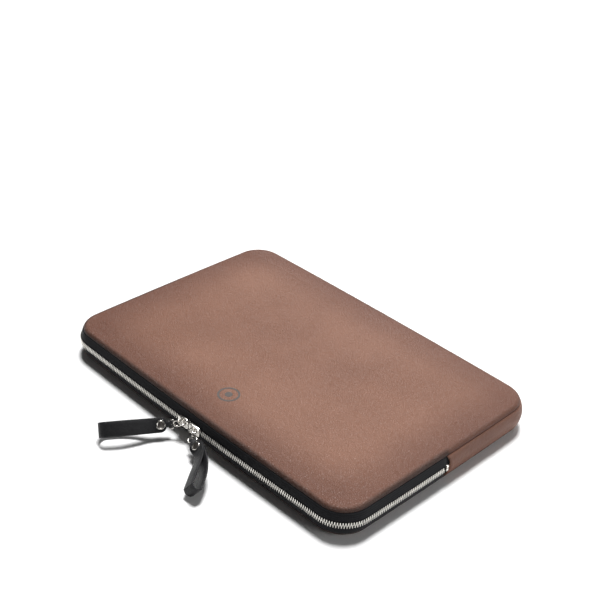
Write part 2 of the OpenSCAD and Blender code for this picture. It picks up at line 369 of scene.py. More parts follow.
def panel(name, profile, material, swell, flip=False):
    """Closed panel. profile runs as (n, h) from the inner face's middle round the edge
    to the outer face, swell says how far crown() lifts it. flip makes the bottom one.
    Two attributes lay painted shade on the leather: "inward" grows from 0 at the seams to 1,
    and "rim" fades from the seam to 0, from 1 where the zip is and from 0.4 behind it."""
    lengths = OUTLINE.loop()
    nx, ny = OUTLINE.long_count, OUTLINE.short_count
    base = np.array([OUTLINE.at(s) for s in lengths])
    side = -1 if flip else 1

    def lift(x, y, inset):
        rounding = EDGE_DROP * smooth_step((inset - 3) / 5) * (1 - smooth_step((inset - 5) / 20))
        return swell * crown(x, y) * smooth_step((inset - 2.5) / 16) - rounding

    vertices = []
    for n, h in profile:
        for (x0, y0, dx, dy), s in zip(base, lengths):
            pucker = 0.14 * noise.noise(Vector((s / 9, h / 5, 2.0))) * smooth_step((14 + n) / 10)
            x = x0 + (n + pucker) * dx
            y = y0 + (n + pucker) * dy
            vertices.append((x, y, MID_Z + side * (h + lift(x, y, -n))))
    ring = len(lengths)
    faces = ring_faces(len(profile), ring)
    for end, (_, h) in ((0, profile[0]), (len(profile) - 1, profile[-1])):
        edge = np.array(vertices[end * ring : (end + 1) * ring])
        grid = coons(edge[:, :2], nx, ny)
        index = {}
        for i in range(nx + 1):
            index[i, 0] = end * ring + i
            index[i, ny] = end * ring + 2 * nx + ny - i
        for j in range(ny + 1):
            index[nx, j] = end * ring + nx + j
            index[0, j] = end * ring + (2 * nx + 2 * ny - j) % ring
        for i in range(1, nx):
            for j in range(1, ny):
                x, y = grid[i, j]
                inset = edge_distance(x, y, CORNER_R)
                index[i, j] = len(vertices)
                vertices.append((x, y, MID_Z + side * (h + lift(x, y, inset))))
        for i in range(nx):
            for j in range(ny):
                faces.append((index[i, j], index[i + 1, j], index[i + 1, j + 1], index[i, j + 1]))
    obj = new_object(name, vertices, faces, material)
    painted_shade_fade = obj.data.attributes.new("painted_shade_fade", "FLOAT", "POINT")
    rim = obj.data.attributes.new("rim", "FLOAT", "POINT")
    for k, (x, y, _) in enumerate(vertices):
        # Painted shade: 0 at the seams, where the leather is darkest, growing to 1 inside.
        painted_shade_fade.data[k].value = smooth_step((edge_distance(x, y, PAINTED_SHADE_CORNER_R) - 2) / PAINTED_SHADE_REACH)
        # Painted shade: a dark rim on the rolled edge by the seam, strongest along the zip.
        from_seam = edge_distance(x, y, CORNER_R) + SEAM_N
        by_zip = 1 - 0.6 * smooth_step((y - MOUTH_Y) / 4)
        rim.data[k].value = by_zip * (1 - smooth_step((from_seam - 0.8) / PAINTED_RIM_SHADE_REACH))
    return obj


def edge_distance(x, y, corner):
    """Distance in from a rounded rectangle as large as the panel, with this corner radius."""
    gap_x = HALF_W - abs(x)
    gap_y = HALF_D - abs(y)
    if gap_x > corner or gap_y > corner:
        return min(gap_x, gap_y)
    return corner - math.hypot(corner - gap_x, corner - gap_y)


# ---- materials ---------------------------------------------------------------------


class Nodes:
    """A material's node tree, with short ways to add and link nodes."""

    def __init__(self, name):
        self.material = bpy.data.materials.new(name)
        self.material.use_nodes = True
        self.tree = self.material.node_tree
        self.shader = self.tree.nodes["Principled BSDF"]

    def add(self, kind, **settings):
        node = self.tree.nodes.new(kind)
        for key, value in settings.items():
            if hasattr(node, key):
                setattr(node, key, value)
            else:
                node.inputs[key].default_value = value
        return node

    def link(self, source, target):
        self.tree.links.new(source, target)

    def texture(self, kind, vector, **settings):
        node = self.add(kind, **settings)
        self.link(vector, node.inputs["Vector"])
        return node

    def ramp(self, source, stops):
        node = self.add("ShaderNodeValToRGB")
        elements = node.color_ramp.elements
        while len(elements) < len(stops):
            elements.new(0.5)
        for element, (position, colour) in zip(elements, stops):
            element.position = position
            element.color = (*colour, 1)
        self.link(source, node.inputs["Fac"])
        return node.outputs["Color"]

    def remap(self, source, low, high, to_low, to_high):
        node = self.add("ShaderNodeMapRange")
        for socket, value in zip(("From Min", "From Max", "To Min", "To Max"), (low, high, to_low, to_high)):
            node.inputs[socket].default_value = value
        self.link(source, node.inputs["Value"])
        return node.outputs["Result"]

    def maths(self, operation, a, b):
        node = self.add("ShaderNodeMath", operation=operation)
        for socket, value in zip(node.inputs, (a, b)):
            if isinstance(value, (int, float)):
                socket.default_value = value
            else:
                self.link(value, socket)
        return node.outputs["Value"]

    def weighted(self, a, share_a, b, share_b):
        """The sum of two outputs, each times its share."""
        return self.maths("ADD", self.maths("MULTIPLY", a, share_a), self.maths("MULTIPLY", b, share_b))

    def mix(self, factor, a, b):
        """Colour a turned into b by the factor. Sockets 0, 6, 7 and 2 are the colour ones."""
        node = self.add("ShaderNodeMix", data_type="RGBA")
        for key, value in ((0, factor), (6, a), (7, b)):
            if isinstance(value, (int, float)):
                node.inputs[key].default_value = value
            elif isinstance(value, tuple):
                node.inputs[key].default_value = (*value, 1)
            else:
                self.link(value, node.inputs[key])
        return node.outputs[2]

    def bump(self, height, distance, strength, after=None):
        node = self.add("ShaderNodeBump")
        node.inputs["Strength"].default_value = strength
        node.inputs["Distance"].default_value = distance
        self.link(height, node.inputs["Height"])
        if after:
            self.link(after, node.inputs["Normal"])
        return node.outputs["Normal"]

    def set(self, **values):
        for key, value in values.items():
            self.shader.inputs[key.replace("_", " ")].default_value = value


def object_coordinates(nodes):
    return nodes.add("ShaderNodeTexCoord").outputs["Object"]


def leather(name, dark, light, grain, grain_depth, roughness, sheen=0.0, edge=None):
    """Pebbled leather, with painted shade in the grain's creases. grain is a pebble's size in
    millimetres. edge is the colour of the painted shade that a panel has near its seams, by the
    mesh's "inward" and "rim" attributes."""
    nodes = Nodes(name)
    where = object_coordinates(nodes)
    warp = nodes.texture("ShaderNodeTexNoise", where, Scale=1000 / (grain * 1.4), Detail=3)
    moved = nodes.add("ShaderNodeVectorMath", operation="MULTIPLY_ADD")
    nodes.link(warp.outputs["Color"], moved.inputs[0])
    moved.inputs[1].default_value = [grain * MM * 1.3] * 3
    nodes.link(where, moved.inputs[2])
    cells = nodes.texture(
        "ShaderNodeTexVoronoi", moved.outputs[0], feature="DISTANCE_TO_EDGE", Scale=1000 / grain
    )
    fine = nodes.texture(
        "ShaderNodeTexVoronoi", moved.outputs[0], feature="F1", Scale=1000 / (grain * 0.42)
    )
    patches = nodes.texture("ShaderNodeTexNoise", where, Scale=26, Detail=5, Roughness=0.6)
    clouds = nodes.texture("ShaderNodeTexNoise", where, Scale=7.5, Detail=3, Roughness=0.5)
    creases = nodes.remap(cells.outputs["Distance"], 0.0, 0.22, 0.0, 1.0)
    tone = nodes.weighted(patches.outputs[0], 0.45, clouds.outputs[0], 0.55)
    ground = nodes.ramp(tone, [(0.27, dark), (0.73, light)])
    if edge:
        # Painted shade: the leather turns to the edge colour towards the seams, with an uneven border.
        painted_shade_fade = nodes.add("ShaderNodeAttribute", attribute_name="painted_shade_fade").outputs["Fac"]
        uneven = nodes.maths("ADD", painted_shade_fade, nodes.remap(clouds.outputs[0], 0.3, 0.7, -0.12, 0.12))
        ground = nodes.mix(nodes.remap(uneven, 0.0, 1.0, 0.0, 1.0), edge, ground)
        # Painted shade: a dark rim right by the seams.
        rim = nodes.add("ShaderNodeAttribute", attribute_name="rim").outputs["Fac"]
        ground = nodes.mix(nodes.maths("MULTIPLY", rim, 0.9), ground, tuple(c * 0.12 for c in edge))
    # Painted shade in the grain's creases.
    painted_crease_shade = nodes.mix(0.2, ground, tuple(c * 0.4 for c in dark))
    nodes.link(nodes.mix(creases, painted_crease_shade, ground), nodes.shader.inputs["Base Color"])
    patchy = nodes.remap(patches.outputs[0], 0.3, 0.7, -0.05, 0.05)
    shine = nodes.maths("ADD", patchy, nodes.remap(creases, 0, 1, 0.1, 0))
    nodes.link(nodes.maths("ADD", shine, roughness), nodes.shader.inputs["Roughness"])
    coarse = nodes.bump(creases, grain_depth * MM, 0.6)
    small = nodes.bump(fine.outputs["Distance"], grain_depth * 0.5 * MM, 0.4, coarse)
    soft = nodes.texture("ShaderNodeTexNoise", where, Scale=280, Detail=3, Roughness=0.6)
    nodes.link(nodes.bump(soft.outputs[0], 1.1 * MM, 0.5, small), nodes.shader.inputs["Normal"])
    nodes.set(Sheen_Weight=sheen, Sheen_Roughness=0.5, Specular_IOR_Level=0.32)
    return nodes.material


def woven_tape():
    """Black zip tape: twill ribs along the zip, on the strip's own coordinates."""
    nodes = Nodes("zip_tape")
    where = nodes.add("ShaderNodeUVMap", uv_map="strip").outputs["UV"]
    slanted = nodes.add("ShaderNodeMapping")
    slanted.inputs["Rotation"].default_value = (0, 0, math.radians(38))
    nodes.link(where, slanted.inputs["Vector"])
    ribs = nodes.texture("ShaderNodeTexWave", slanted.outputs[0], Scale=300, Distortion=0.4, Detail=1)
    rows = nodes.texture("ShaderNodeTexWave", where, Scale=190, Distortion=0.2, bands_direction="Y")
    lint = nodes.texture("ShaderNodeTexNoise", where, Scale=900, Detail=3)
    weave = nodes.maths("MULTIPLY", ribs.outputs["Fac"], rows.outputs["Fac"])
    tone = nodes.weighted(weave, 0.6, lint.outputs[0], 0.5)
    nodes.link(
        nodes.ramp(tone, [(0.2, (0.004, 0.004, 0.005)), (0.85, (0.016, 0.017, 0.02))]),
        nodes.shader.inputs["Base Color"],
    )
    ridges = nodes.bump(weave, 0.12 * MM, 0.6)
    nodes.link(nodes.bump(lint.outputs[0], 0.05 * MM, 0.3, ridges), nodes.shader.inputs["Normal"])
    nodes.set(Roughness=0.82, Sheen_Weight=0.08, Sheen_Roughness=0.4, Specular_IOR_Level=0.2)
    return nodes.material


def cloth(name, dark, light, thread):
    """Plain weave lining. thread is the spacing of its threads in millimetres."""
    nodes = Nodes(name)
    where = object_coordinates(nodes)
    threads = [
        nodes.texture("ShaderNodeTexWave", where, Scale=160 / thread, Distortion=0.5, bands_direction=axis)
        for axis in "XY"
    ]
    nap = nodes.texture("ShaderNodeTexNoise", where, Scale=220, Detail=4)
    weave = nodes.maths("MAXIMUM", threads[0].outputs["Fac"], threads[1].outputs["Fac"])
    tone = nodes.weighted(weave, 0.4, nap.outputs[0], 0.6)
    nodes.link(nodes.ramp(tone, [(0.25, dark), (0.8, light)]), nodes.shader.inputs["Base Color"])
    nodes.link(nodes.bump(weave, 0.15 * MM, 0.5), nodes.shader.inputs["Normal"])
    nodes.set(Roughness=0.9, Sheen_Weight=0.3, Specular_IOR_Level=0.2)
    return nodes.material


def foam():
    """Dark grey foam with small cells."""
    nodes = Nodes("foam")
    where = object_coordinates(nodes)
    bubbles = nodes.texture("ShaderNodeTexVoronoi", where, Scale=1400)
    nodes.link(
        nodes.ramp(bubbles.outputs["Distance"], [(0.1, (0.05, 0.05, 0.055)), (0.6, (0.12, 0.12, 0.13))]),
        nodes.shader.inputs["Base Color"],
    )
    nodes.link(nodes.bump(bubbles.outputs["Distance"], 0.3 * MM, 0.7), nodes.shader.inputs["Normal"])
    nodes.set(Roughness=0.95, Specular_IOR_Level=0.2)
    return nodes.material


def polished_metal(name, colour, roughness, scratch, painted_gap_shade=False):
    """Nickel plating with faint scratches and a slightly uneven polish. painted_gap_shade darkens, as
    painted shade, what the mesh's "recess" attribute marks as deep between the teeth."""
    nodes = Nodes(name)
    where = object_coordinates(nodes)
    smudge = nodes.texture("ShaderNodeTexNoise", where, Scale=260, Detail=4)
    lines = nodes.texture("ShaderNodeTexNoise", where, Scale=1500, Detail=2, Distortion=1.5)
    nodes.link(
        nodes.remap(smudge.outputs[0], 0.3, 0.7, roughness - 0.05, roughness + 0.08),
        nodes.shader.inputs["Roughness"],
    )
    worn = tuple(c * 0.82 for c in colour)
    plating = nodes.ramp(smudge.outputs[0], [(0.35, worn), (0.6, colour)])
    if painted_gap_shade:
        recess = nodes.add("ShaderNodeAttribute", attribute_name="recess").outputs["Fac"]
        # Painted shade between the teeth, dark where the recess is deep.
        plating = nodes.mix(nodes.remap(recess, 0.15, 0.8, 0, 1), plating, (0.03, 0.028, 0.026))
    nodes.link(plating, nodes.shader.inputs["Base Color"])
    nodes.link(nodes.bump(lines.outputs[0], scratch * MM, 0.25), nodes.shader.inputs["Normal"])
    nodes.set(Metallic=1.0)
    return nodes.material


def floor_material():
    """Plain white, nearly matt."""
    nodes = Nodes("studio_floor")
    nodes.set(Base_Color=(0.93, 0.93, 0.93, 1), Roughness=0.85, Specular_IOR_Level=0.1)
    return nodes.material


BROWN = leather(
    "brown_leather",
    dark=(0.206, 0.090, 0.054),
    light=(0.282, 0.137, 0.089),
    grain=1.5,
    grain_depth=0.42,
    roughness=0.43,
    # The colour of the painted shade near the seams.
    edge=(0.148, 0.059, 0.036),
)
# Painted shade: the side band takes the brown leather in darker colours.
GUSSET_LEATHER_PAINTED_SHADE = leather(
    "gusset_leather",
    dark=(0.134, 0.053, 0.031),
    light=(0.21, 0.094, 0.060),
    grain=1.5,
    grain_depth=0.42,
    roughness=0.44,
)
BLACK = leather(
    "black_leather",
    dark=(0.006, 0.006, 0.007),
    light=(0.014, 0.014, 0.016),
    grain=0.7,
    grain_depth=0.06,
    roughness=0.5,
    sheen=0.02,
)
TAPE = woven_tape()
LINING = cloth("lining", (0.022, 0.022, 0.026), (0.06, 0.06, 0.068), 0.6)
FOAM = foam()
NICKEL = polished_metal("nickel", (0.80, 0.77, 0.72), 0.22, 0.02)
# Darker nickel for the rivets' dished faces: painted shade.
RIVET_FACE_PAINTED_SHADE = polished_metal("rivet_face_painted_shade", (0.42, 0.38, 0.35), 0.3, 0.03)
TEETH = polished_metal("teeth_nickel", (0.9, 0.87, 0.81), 0.3, 0.02, painted_gap_shade=True)


# ---- leather, foam and lining ------------------------------------------------------


def arc(cx, cy, r, start, end, count):
    """Points on an arc, angles in degrees."""
    return [
        (cx + r * math.cos(math.radians(a)), cy + r * math.sin(math.radians(a)))
        for a in np.linspace(start, end, count)
    ]


def edge_angle():
    """Angle at which the panel's roll reaches the seam."""
    return math.degrees(math.asin((BAND_HALF - (MID_Z - ROLL_R)) / ROLL_R))


def leather_profile():
    """Panel edge: the leather turns in at the seam and rolls up to the flat face."""
    centre_n = SEAM_N - ROLL_R * math.cos(math.radians(edge_angle()))
    centre_h = MID_Z - ROLL_R
    inner_r = ROLL_R - LEATHER_T
    flat_in = [(-inset, MID_Z - LEATHER_T) for inset in reversed(FLAT_INSETS)]
    inner = arc(centre_n, centre_h, inner_r, 90, edge_angle() + 8, 7)
    turn = arc(SEAM_N - 1.0, BAND_HALF - 0.15, 0.85, -150, 15, 7)
    outer = arc(centre_n, centre_h, ROLL_R, edge_angle() + 4, 90, 12)
    flat_out = [(-inset, MID_Z) for inset in FLAT_INSETS]
    return flat_in + inner + turn + outer + flat_out


def sheet_profile(inset, low, high):
    """Edge of a flat layer between two heights, with a rounded rim."""
    near, far = FLAT_INSETS[1:]
    rim = [(-inset - 0.4, low), (-inset, (low + high) / 2), (-inset - 0.4, high)]
    return [(-far, low), (-near, low)] + rim + [(-near, high), (-far, high)]


def bend_with_top(obj):
    """Bake the object's placement into its mesh."""
    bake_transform(obj)


def make_panels():
    """Leather, foam and lining, each as one top layer and one bottom layer."""
    foam_low = MID_Z - LEATHER_T - FOAM_T
    foam_high = MID_Z - LEATHER_T
    foam_profile = sheet_profile(FOAM_INSET, foam_low + LAYER_GAP, foam_high - LAYER_GAP)
    lining_profile = sheet_profile(LINING_INSET, foam_low - LINING_T, foam_low - LAYER_GAP)
    layers = (
        ("leather", leather_profile(), BROWN, "brown_leather"),
        ("foam", foam_profile, FOAM, "foam"),
        ("lining", lining_profile, LINING, "lining"),
    )
    for layer, profile, material, slot in layers:
        top = panel(f"top_{layer}_panel", profile, material, 1.0)
        piece(top, None, slot, f"rear_top_{layer}", f"front_top_{layer}")
        bend_with_top(top)
        bottom = panel(f"bottom_{layer}_panel", profile, material, 0.0, flip=True)
        piece(bottom, "shell", slot, f"bottom_{layer}")


def band_n(h, depth=0.0):
    """How far the side band's face is outside the outermost line, at height h."""
    r = (BAND_HALF**2 + BAND_BULGE**2) / (2 * BAND_BULGE)
    return -r + math.sqrt((r - depth) ** 2 - h * h)


def band_section(depth, thick, reach, count, turn_in=0.0):
    """Strip of the side band. turn_in rolls both edges in at the seams."""
    outer = [(band_n(h, depth), h) for h in np.linspace(-reach, reach, count)]
    inner = [(band_n(h, depth + thick), h) for h in np.linspace(reach, -reach, count)]
    if turn_in:
        seam = outer[-1][0]
        top = [(seam - turn_in * 0.45, reach + turn_in * 0.22), (seam - turn_in, reach + turn_in * 0.1)]
        low = [(n, -h) for n, h in reversed(top)]
        return outer + top + inner + low
    return outer + inner


def make_gusset():
    """The side band behind the zip. Its two ends reach over the zip's tape in a round notch."""
    lengths = OUTLINE.rear_run(MOUTH_Y - NOTCH_REACH, 1.8)

    def notched(s, n, h):
        from_end = min(s - lengths[0], lengths[-1] - s)
        towards_back = 1 if s - lengths[0] < lengths[-1] - s else -1
        roundness = math.sqrt(max(0, 1 - (h / BAND_HALF) ** 2))
        depth = NOTCH_DEPTH * roundness * (1 - smooth_step(from_end / 14))
        sag = 0.22 * noise.noise(Vector((s / 16, h / 9, 5.0)))
        folded = 0.3 * math.exp(-((from_end - 1.4) ** 2) / 1.5) - 0.35 * math.exp(-from_end / 0.6)
        return s + towards_back * depth, n + sag + folded, h

    section = band_section(0, LEATHER_T, BAND_HALF - 1.0, 13, 1.5)
    skin = sweep("gusset_leather_strip", lengths, section, GUSSET_LEATHER_PAINTED_SHADE, notched)
    piece(skin, "shell", "brown_leather", "gusset_leather")
    inside = OUTLINE.rear_run(MOUTH_Y + 3.5, 4)
    foam_section = band_section(LEATHER_T + 0.4, GUSSET_FOAM_T - 0.45, INNER_BAND_HALF, 7)
    core = sweep("gusset_foam_strip", inside, foam_section, FOAM)
    piece(core, "shell", "foam", "gusset_foam")
    lining_section = band_section(LEATHER_T + GUSSET_FOAM_T, LINING_T, INNER_BAND_HALF, 9)
    lining = sweep("gusset_lining_strip", inside, lining_section, LINING)
    piece(lining, "shell", "lining", "gusset_lining")


# ---- zip ---------------------------------------------------------------------------


def tape_section(side):
    """Half of the zip's tape, from the corded edge under the teeth to the seam."""
    rise = BAND_BULGE - TAPE_IN
    r = (BAND_HALF**2 + rise**2) / (2 * rise)

    def face(h, depth):
        return -TAPE_IN - r + math.sqrt((r - depth) ** 2 - h * h)

    reach = np.linspace(TAPE_EDGE, BAND_HALF - 0.5, 10)
    outer = [(face(h, 0), h) for h in reach]
    inner = [(face(h, TAPE_T), h) for h in reversed(reach)]
    cord = [
        (-TAPE_IN - 0.75, TAPE_EDGE - 0.2),
        (-TAPE_IN - 0.3, TAPE_EDGE - 0.35),
        (-TAPE_IN + 0.12, TAPE_EDGE),
    ]
    return [(n, side * h) for n, h in outer + inner + cord]


def tuck(s, n, h):
    """The tape's ends go in under the gusset's leather."""
    past = OUTLINE.length_to(MOUTH_Y - NOTCH_REACH - 2) - abs(s)
    return s, n - 1.5 * smooth_step(-past / 4), h


def parted(s):
    """How far each row stands off the middle between the two sliders and at them."""
    t = (TOOTH_CLOSE_X - abs(s)) / (TOOTH_CLOSE_X - TOOTH_PART_X)
    return TOOTH_PART * min(1, max(0, t))


def tooth_shape():
    """One tooth as (along, n, h) vertices and faces: a head, a waist and a straight root."""
    outline = [
        (0.30, -TOOTH_CROSS),
        (0.46, -TOOTH_CROSS + 0.25),
        (0.34, 0.15),
        (0.5, 0.75),
        (0.5, TOOTH_ROOT - 0.25),
        (0.36, TOOTH_ROOT),
    ]
    half = [(a * TOOTH_W, h) for a, h in outline]
    ring = half + [(-a, h) for a, h in reversed(half)]
    levels = [(0.0, 0.72), (-0.18, 1.0), (-TOOTH_FACE, 1.0), (-TOOTH_DEPTH, 0.9)]
    centre_h = (TOOTH_ROOT - TOOTH_CROSS) / 2
    vertices = []
    for n, scale in levels:
        vertices += [(a * scale, n, centre_h + (h - centre_h) * (0.5 + scale / 2)) for a, h in ring]
    return vertices, capped_faces(len(levels), len(ring))


def make_teeth(name, side, phase):
    """One row of teeth. phase shifts it along the zip, so that the two rows mesh.
    The attribute "recess" is 0 on the teeth's faces and 1 deep between them, where the material paints
    shade."""
    shape, shape_faces = tooth_shape()
    end = OUTLINE.length_to(MOUTH_Y - TAPE_END_GAP - STOP_L)
    count = int(2 * end / TOOTH_PITCH)
    vertices = []
    faces = []
    for i in range(count):
        s = -end + (i + phase) * TOOTH_PITCH
        x, y, nx, ny = OUTLINE.at(s)
        start = len(vertices)
        for a, n, h in shape:
            height = side * (h + parted(s))
            vertices.append((x - ny * a + nx * n, y + nx * a + ny * n, MID_Z + height))
        faces += [tuple(start + k for k in face) for face in shape_faces]
    teeth = new_object(name, vertices, faces, TEETH)
    recess = teeth.data.attributes.new("recess", "FLOAT", "POINT")
    for k, item in enumerate(recess.data):
        item.value = min(1, -shape[k % len(shape)][1] / TOOTH_FACE)
    return teeth


def make_end_stop(name, side):
    """Crimped stops at both ends of a row of teeth."""
    stops = []
    length = OUTLINE.length_to(MOUTH_Y - TAPE_END_GAP - STOP_L / 2)
    face = [(0.05, 0.25), (0.15, 1.2), (0.0, TOOTH_ROOT)]
    section = face + [(-TOOTH_DEPTH, TOOTH_ROOT), (-TOOTH_DEPTH, 0.25)]
    for s in (-length, length):
        lengths = np.linspace(s - STOP_L / 2 + 0.3, s + STOP_L / 2 - 0.1, 4)
        stop = sweep(name, lengths, [(n, side * h) for n, h in section], TEETH)
        bevel(stop, 0.2)
        stops.append(stop)
    return join(name, stops)


def make_zip():
    """Tapes, teeth and end stops."""
    run = OUTLINE.front_run(MOUTH_Y + 3, 1.6)
    upper = sweep("upper_zip_tape", run, tape_section(1), TAPE, tuck)
    piece(upper, None, "zip_tape", "upper_tape")
    lower = sweep("lower_zip_tape", run, tape_section(-1), TAPE, tuck)
    piece(lower, "shell", "zip_tape", "lower_tape")
    upper_teeth = make_teeth("upper_zip_teeth", 1, 0.25)
    piece(upper_teeth, None, "nickel", "upper_teeth")
    lower_teeth = make_teeth("lower_zip_teeth", -1, 0.75)
    piece(lower_teeth, "shell", "nickel", "lower_teeth")
    upper_stops = make_end_stop("upper_zip_stops", 1)
    piece(upper_stops, None, "nickel", "upper_end_stops")
    lower_stops = make_end_stop("lower_zip_stops", -1)
    piece(lower_stops, "shell", "nickel", "lower_end_stops")
    for obj in (upper, upper_teeth, upper_stops):
        bend_with_top(obj)


# ---- sliders and pulls -------------------------------------------------------------


def prism(name, outline, low, high, material, width=0.25, segments=2):
    """Outline of (x, z) points extruded along y from low to high, with bevelled edges."""
    vertices = [(x, low, z) for x, z in outline] + [(x, high, z) for x, z in outline]
    obj = new_object(name, vertices, capped_faces(2, len(outline)), material)
    bevel(obj, width, segments)
    return obj


def tube(name, points, radius, material, across, closed=True, sides=14, thicken=1.0):
    """Round bar along points in a plane. across is that plane's normal, and thicken
    makes the bar thicker along it."""
    points = [Vector(p) for p in points]
    count = len(points)
    vertices = []
    for i, p in enumerate(points):
        if closed:
            tangent = points[(i + 1) % count] - points[i - 1]
        else:
            tangent = points[min(i + 1, count - 1)] - points[max(i - 1, 0)]
        tangent.normalize()
        side = across.cross(tangent).normalized()
        up = tangent.cross(side).normalized()
        for k in range(sides):
            a = 2 * math.pi * k / sides
            vertices.append(p + side * radius * math.cos(a) + up * radius * thicken * math.sin(a))
    faces = ring_faces(count, sides, closed=True) if closed else capped_faces(count, sides)
    return new_object(name, vertices, faces, material)


def slider_outline():
    """Plate outline as (x, z), wide at the nose at +x."""
    end = SLIDER_L / 2
    nose = SLIDER_W / 2
    tail = SLIDER_W / 2 - 0.7
    half = [
        (-end, tail - 1.2),
        (-end + 0.5, tail - 0.3),
        (-end + 1.6, tail),
        (0.5, tail + 0.25),
        (end - 3.0, nose),
        (end - 1.2, nose - 0.25),
        (end - 0.3, nose - 1.3),
        (end, nose - 2.8),
    ]
    return half + [(x, -z) for x, z in reversed(half)]


def make_slider(name, side, body):
    """Slider: two plates with lips, the post between them and the bridge for the link."""
    end = SLIDER_L / 2
    inner = -TOOTH_DEPTH - 0.5
    outline = slider_outline()
    parts = [
        prism("outer_plate", outline, PLATE_GAP, PLATE_GAP + PLATE_T, NICKEL, 0.32, 3),
        prism("inner_plate", outline, inner - PLATE_T, inner, NICKEL, 0.32, 3),
    ]
    lip = [(-end + 1.2, 0), (end - 2.2, 0.35), (end - 2.2, 0.95), (-end + 1.2, 0.6)]
    for sign in (-1, 1):
        edge = [(x, sign * (SLIDER_W / 2 - 1.3 + z)) for x, z in lip]
        parts.append(prism("lip", edge, -0.45, PLATE_GAP + 0.2, NICKEL, 0.15))
    post = [(end - 2.4, 0), (end - 1.6, 0.5), (end - 0.2, 0.5), (end - 0.2, -0.5), (end - 1.6, -0.5)]
    parts.append(prism("post", post, inner - 0.4, PLATE_GAP + 0.4, NICKEL, 0.12))
    base = PLATE_GAP + PLATE_T - 0.25
    rise = BRIDGE_GAP + 0.8
    arch = []
    for t in np.linspace(0, math.pi, 25):
        x = -3.3 * math.cos(t)
        y = base + rise * math.sin(t) ** 0.55
        arch.append((x, y, 0))
    parts.append(tube("bridge", arch, 0.62, NICKEL, Vector((0, 0, 1)), closed=False, thicken=1.25))
    rim = [(x * 0.8, z * 0.8) for x, z in outline]
    outer = PLATE_GAP + PLATE_T
    parts.append(prism("raised_field", rim, outer - 0.1, outer + 0.18, NICKEL, 0.12))
    slider = join(name, parts)
    centre = (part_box(body)[0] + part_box(body)[1]) / 2
    place = Matrix.Translation((centre.x, -HALF_D * MM, MID_Z * MM))
    # Both noses point at the sleeve's middle. The left slider is a mirror image, whose
    # faces have to be turned outward again.
    slider.data.transform(place @ Matrix.Diagonal((-side, -1, 1, 1)))
    if side < 0:
        slider.data.flip_normals()
    piece(slider, body, "nickel", body)


def rotation(degrees, axis):
    return Matrix.Rotation(math.radians(degrees), 4, axis)


class Pull:
    """Where one pull lies: the frames of the link's ring and loop and of the strap.

    swing, droop, lean and turn are angles in degrees. opening is half of the strap's open
    loop. bow, lift and twist bend the strap away from its straight frame."""

    def __init__(self, name, side, swing, droop, lean, turn, opening, bow=0, lift=0, twist=0):
        joints = {j["name"]: j for j in frame["joints"]}
        self.name = name
        self.side = side
        self.opening = opening
        self.bow = bow
        self.lift = lift
        self.twist = twist
        pivot = Vector(joints[f"{name}_link_swing"]["pos_m"])
        self.ring = Matrix.Translation(pivot) @ rotation(-90 + side * swing, "Z") @ rotation(droop, "Y")
        self.loop = self.ring @ rotation(lean, "X")
        end = Matrix.Translation(Vector((LINK_L * MM, 0, 0)))
        self.strap = self.loop @ end @ rotation(-side * turn, "Z")

    def centre(self, u):
        """The strap's middle line, in the strap's own frame."""
        share = max(0, u) / STRAP_L
        sideways = self.bow * math.sin(math.pi * (share * 0.93) ** 0.8)
        return Vector((u, self.side * -self.lift * smooth_step(share), sideways))

    def at(self, u):
        """Frame on the strap at u: x along it, z across it, y through its thickness."""
        ahead = (self.centre(u + 0.5) - self.centre(u - 0.5)).normalized()
        across = (Vector((0, 0, 1)) - ahead * ahead.z).normalized()
        through = across.cross(ahead)
        axes = Matrix((ahead, through, across)).transposed().to_4x4()
        roll = rotation(self.twist * smooth_step(u / 12), "X")
        return Matrix.Translation(self.centre(u)) @ axes @ roll


PULLS = (
    Pull("left", -1, swing=50.9, droop=15.4, lean=38.4, turn=21.9, opening=7.0),
    Pull(
        "right", 1, swing=51.0, droop=13.6, lean=-74.3, turn=7.9, opening=4.6, bow=7.0, lift=2.2, twist=40
    ),
)


def rounded_loop(x0, x1, height, r, count=6):
    """Rectangle with round corners in the x-z plane."""
    top = height / 2 - r
    corners = ((x1 - r, top, 0), (x0 + r, top, 90), (x0 + r, -top, 180), (x1 - r, -top, 270))
    points = []
    for cx, cz, start in corners:
        points += [(x, 0, z) for x, z in arc(cx, cz, r, start, start + 90, count)]
    return points


def make_link(pull):
    """The link: an oval ring for the slider's bridge and a square loop for the strap."""
    across = Vector((0, 1, 0))
    ring = tube("ring", rounded_loop(0, RING_L, RING_H, 2.5, 9), WIRE_D / 2, NICKEL, across)
    ring.data.transform(pull.ring)
    loop = tube("loop", rounded_loop(RING_L, LINK_L, LOOP_H, 1.3), WIRE_D / 2, NICKEL, across)
    loop.data.transform(pull.loop)
    link = join(f"{pull.name}_pull_link", [ring, loop])
    piece(link, f"{pull.name}_link", "nickel", f"{pull.name}_link")


def strap_path(opening):
    """The closed band seen on its edge: round the bar, pressed together, then a loop."""
    bar = WIRE_D / 2 + 0.2 + STRAP_T / 2
    upper = [(-bar, 0.0), (-bar * 0.7, bar * 0.72), (0.2, bar), (2.2, bar * 0.75), (4.2, STRAP_T * 0.54)]
    upper += [(9.0, STRAP_T * 0.53), (13.0, STRAP_T * 0.58)]
    half = opening - STRAP_T / 2
    fold = STRAP_L - half
    upper += [(19.0, half * 0.34), (26.0, half * 0.66), (34.0, half * 0.93), (41.0, half * 1.02)]
    upper += [(fold + half * math.sin(a), half * math.cos(a)) for a in np.radians((10, 32, 54, 74))]
    tip = [(fold + half, 0.0)]
    lower = [(u, -v) for u, v in reversed(upper[1:])]
    return upper + tip + lower


